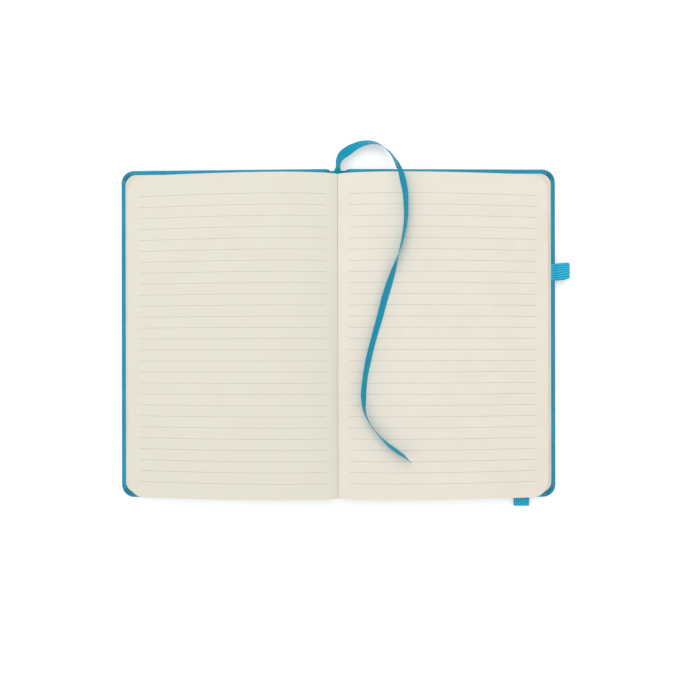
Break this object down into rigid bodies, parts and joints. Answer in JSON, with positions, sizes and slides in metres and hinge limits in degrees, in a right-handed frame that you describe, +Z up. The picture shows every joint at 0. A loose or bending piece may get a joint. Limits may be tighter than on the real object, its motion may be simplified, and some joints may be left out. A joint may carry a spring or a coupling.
{
  "type": "notebook",
  "caption": "Hard-cover notebook lying open at its middle, with lined pages, a satin ribbon marker, an elastic pen loop and an elastic closure band.",
  "frame": {"origin": "middle of the spine panel's underside, where it rests on the table", "axes": "+X towards the back cover's fore-edge, +Y towards the head of the book, +Z up from the table"},
  "size_m": [0.2882, 0.236, 0.0249],
  "materials": {
    "board": "plain grey board",
    "cover": "soft fine-grained leather-like covering",
    "endpaper": "plain cream endpaper",
    "pages": "cream writing paper with fine grey lines",
    "elastic": "ribbed woven elastic",
    "ribbon": "satin ribbon"
  },
  "bodies": {
    "spine": {"spine_strip": "board", "spine_wrap": "cover", "spine_lining": "endpaper"},
    "front_cover": {"front_board": "board", "front_wrap": "cover", "front_pastedown": "endpaper", "front_pages": "pages"},
    "back_cover": {"back_board": "board", "back_wrap": "cover", "back_pastedown": "endpaper", "back_pages": "pages", "pen_loop": "elastic", "closure_elastic": "elastic", "ribbon_marker": "ribbon"}
  },
  "joints": [
    {"name": "front_hinge", "type": "hinge", "parent": "spine", "child": "front_cover", "pos_m": [-0.0043, 0, 0.007], "axis": [0, 1, 0], "range_deg": [0, 91.8], "deforming": ["front_pages"]},
    {"name": "back_hinge", "type": "hinge", "parent": "spine", "child": "back_cover", "pos_m": [0.0043, 0, 0.007], "axis": [0, -1, 0], "range_deg": [0, 91], "deforming": ["back_pages", "ribbon_marker"]}
  ]
}
